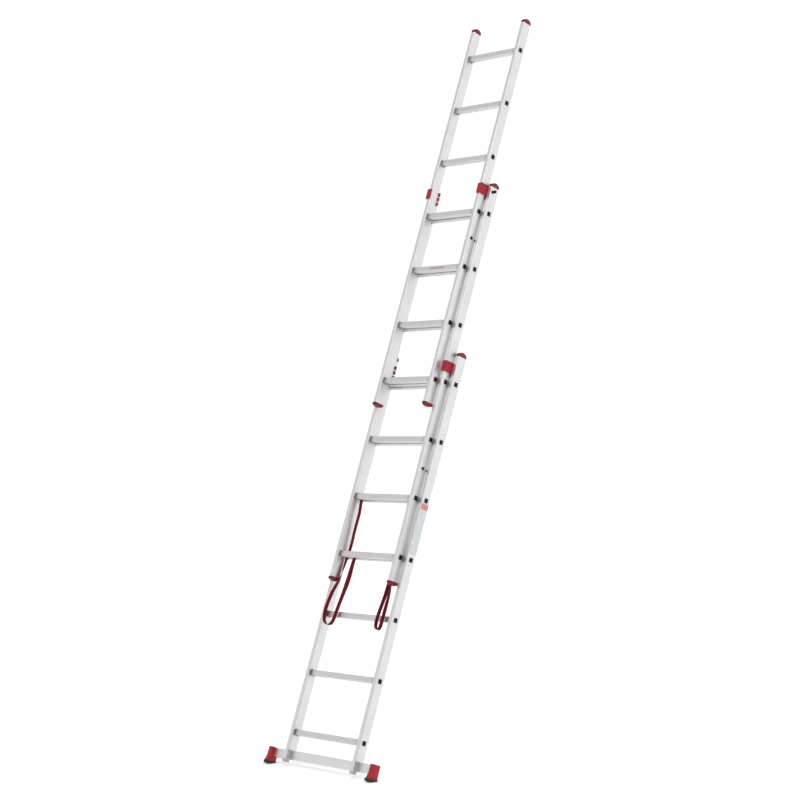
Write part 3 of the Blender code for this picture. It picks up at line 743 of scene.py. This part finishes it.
# ---------------------------------------------------------------- stickers and latch slot
def panel(name, label, x, y, z, material, axis="x"):
    """A thin sticker between the pairs y and z on an outer face at x, or on a rung's front at y."""
    thick = 0.00015
    work = bmesh.new()
    uv = work.loops.layers.uv.new("sheet")
    if axis == "x":
        corners = [(x, y[0], z[0]), (x, y[1], z[0]), (x, y[1], z[1]), (x, y[0], z[1])]
        lift = Vector((thick, 0, 0))
    else:
        corners = [(x[0], y, z[0]), (x[1], y, z[0]), (x[1], y, z[1]), (x[0], y, z[1])]
        lift = Vector((0, -thick, 0))
    base = [work.verts.new(c) for c in corners]
    top = [work.verts.new(Vector(c) + lift) for c in corners]
    faces = [work.faces.new(top), work.faces.new(list(reversed(base)))]
    for i in range(4):
        j = (i + 1) % 4
        faces.append(work.faces.new((base[i], base[j], top[j], top[i])))
    for face in faces:
        for loop in face.loops:
            index = (base + top).index(loop.vert) % 4
            loop[uv].uv = ((0, 0), (1, 0), (1, 1), (0, 1))[index]
    rides(place(finished(work, name, material), name, SECTION[label]), label, "grey_plastic")


def latch_slot():
    """Dark slot with a rim near the middle section's right head; its ends are given as (y, z)."""
    start, end = Vector((0.0118, 1.7863)), Vector((0.0302, 1.7967))
    run = (end - start).normalized()
    side = Vector((-run.y, run.x))
    x = WIDTH["middle"] / 2

    def oval(half, at):
        points = []
        for centre, base in ((end, 0.0), (start, pi)):
            for step in range(9):
                angle = base - pi / 2 + pi * step / 8
                point = centre + run * half * cos(angle) + side * half * sin(angle)
                points.append((at, point.x, point.y))
        return points

    solid = Solid()
    solid.loft([oval(0.0072, x - 0.001), oval(0.0072, x + 0.0006), oval(0.0066, x + 0.0010),
                oval(0.0052, x + 0.0010), oval(0.0050, x + 0.0003)])
    slot = solid.done("middle_latch_slot", BLACK, SECTION["middle"], angle=40)
    rides(slot, "middle", "grey_plastic")


# ---------------------------------------------------------------- build
plug_mesh = end_plug_mesh()
for section in ("bottom", "middle", "top"):
    rungs(section, plug_mesh)
    for s in SIDES:
        stile(section, s)
        cap(section, s)
        if section != "bottom":
            foot_plug(section, s)
for s in SIDES:
    guide("bottom", WIDTH["middle"], GUIDE_TOP["bottom"], s)
    guide("middle", WIDTH["top"], GUIDE_TOP["middle"], s)
    shoe(s)
    sole(s)
    for section, z in SIDE_BOLT_HEIGHT.items():
        face = s * WIDTH[section] / 2
        # a black dot beside each bolt head: a painted shadow of the head, not a part
        rivet(f"{section}_stop_{hand(s)}", section, (face, SHADOW_DOT_DEPTH, z - SHADOW_DOT_DROP), (s, 0, 0),
              0.0048, 0.0016, BLACK)
        rivet(f"{section}_bolt_head_{hand(s)}", section, (face, BOLT_DEPTH, z), (s, 0, 0),
              0.0082, 0.0030, DARK_STEEL)
latch_slot()
panel("side_sticker", "bottom", WIDTH["bottom"] / 2, SIDE_STICKER["y"], SIDE_STICKER["z"], SHEET)
panel("rung_sticker", "top", RUNG_STICKER["x"], RUNG_STICKER["y"], RUNG_STICKER["z"], PRINT, "y")

# CAD pieces that are shown as they are
NODES["stabiliser_bar"].data.materials[0] = BAR_ALU
for node, obj in NODES.items():
    if "side_bolt" in node:
        obj.data.materials[0] = DARK_STEEL
    elif "bolt" in node or "hook" in node:
        obj.data.materials[0] = ZINC
    elif "insert" in node:
        obj.data.materials[0] = GREY


# ---------------------------------------------------------------- floor and light
def make_floor():
    """White floor that glows a little, and more with distance, so that it ends in plain white."""
    m = Nodes("floor")
    cloud = m.noise(m.coordinates(), 0.7, 2.0)
    m.set(Base_Color=m.mix(cloud, rgb(0.90), rgb(0.94)), Roughness=0.9)
    away = m.add("ShaderNodeVectorMath", {0: m.coordinates()}, operation="LENGTH").outputs["Value"]
    m.set(Specular_IOR_Level=0.1, Emission_Color=rgb(1.0),
          Emission_Strength=m.between(away, 0.18, 0.40, 1.2, 5.0))
    mesh = bpy.data.meshes.new("floor")
    far = 60
    mesh.from_pydata([(-far, -far, 0), (far, -far, 0), (far, far, 0), (-far, far, 0)], [],
                     [(0, 1, 2, 3)])
    mesh.materials.append(m.material)
    place(mesh, "floor")


def make_world():
    """White studio, greyer up to the left and dark behind the camera, so that metal shows form.

    Seen directly, it is plain white all round.
    """
    world = bpy.data.worlds.new("studio")
    world.use_nodes = True
    bpy.context.scene.world = world
    tree = world.node_tree
    way = tree.nodes.new("ShaderNodeTexCoord").outputs["Generated"]

    def lobe(direction, near, far, outside, inside):
        """Strength that goes from outside to inside as the view turns towards direction."""
        aim = tree.nodes.new("ShaderNodeVectorMath")
        aim.operation = "DOT_PRODUCT"
        tree.links.new(way, aim.inputs[0])
        aim.inputs[1].default_value = Vector(direction).normalized()
        shade = tree.nodes.new("ShaderNodeMapRange")
        tree.links.new(aim.outputs["Value"], shade.inputs["Value"])
        levels = {"From Min": near, "From Max": far, "To Min": outside, "To Max": inside}
        for socket, value in levels.items():
            shade.inputs[socket].default_value = value
        return shade.outputs["Result"]

    strength = tree.nodes.new("ShaderNodeMath")
    strength.operation = "MULTIPLY"
    tree.links.new(lobe((-0.50, -0.12, 0.86), 0.35, 1.0, 1.12, 0.62), strength.inputs[0])
    tree.links.new(lobe((0.73, -0.68, 0.05), 0.50, 0.95, 1.0, 0.10), strength.inputs[1])
    seen = tree.nodes.new("ShaderNodeMix")
    tree.links.new(tree.nodes.new("ShaderNodeLightPath").outputs["Is Camera Ray"], seen.inputs[0])
    tree.links.new(strength.outputs[0], seen.inputs[2])
    seen.inputs[3].default_value = 1.05
    background = tree.nodes["Background"]
    background.inputs["Color"].default_value = (1.0, 1.0, 1.0, 1.0)
    tree.links.new(seen.outputs[0], background.inputs["Strength"])


def softbox(name, location, target, size, power):
    data = bpy.data.lights.new(name, "AREA")
    data.shape = "RECTANGLE"
    data.size, data.size_y = size
    data.energy = power
    lamp = bpy.data.objects.new(name, data)
    lamp.location = location
    lamp.rotation_euler = (Vector(target) - Vector(location)).to_track_quat("-Z", "Y").to_euler()
    bpy.context.scene.collection.objects.link(lamp)


make_floor()
make_world()
softbox("key_light", (3.0, -4.0, 6.0), (0.0, 0.0, 1.2), (3.5, 3.5), 160)
bpy.context.scene.view_settings.view_transform = "Standard"
